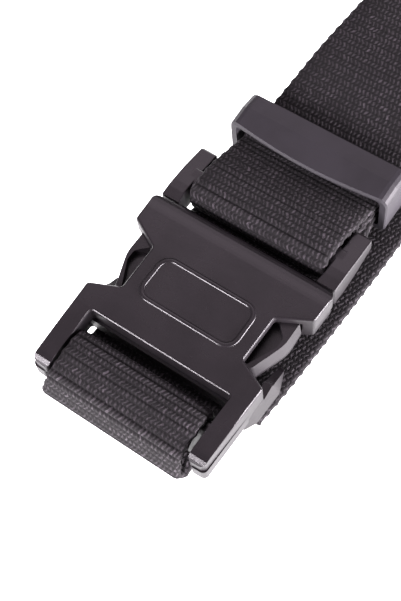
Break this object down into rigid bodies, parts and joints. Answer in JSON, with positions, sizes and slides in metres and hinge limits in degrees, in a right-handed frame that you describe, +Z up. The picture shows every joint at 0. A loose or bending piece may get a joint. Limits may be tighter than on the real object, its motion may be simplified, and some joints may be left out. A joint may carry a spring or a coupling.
{
  "type": "tactical belt",
  "caption": "Duty belt of flat webbing, fastened by a side release buckle with a strap keeper and lying folded flat.",
  "frame": {"origin": "bottom centre of the belt as it lies", "axes": "+X from the buckle's female half along the strands to the far turn, +Y across the webbing to the buckle's left side, +Z up from the floor"},
  "size_m": [0.3684, 0.0722, 0.0213],
  "materials": {
    "buckle": "moulded, fine satin",
    "keeper": "moulded, matte",
    "webbing": "woven nylon, matte"
  },
  "bodies": {
    "root": {"female_half": "buckle", "male_half": "buckle", "keeper": "keeper", "webbing": "webbing"}
  },
  "joints": []
}
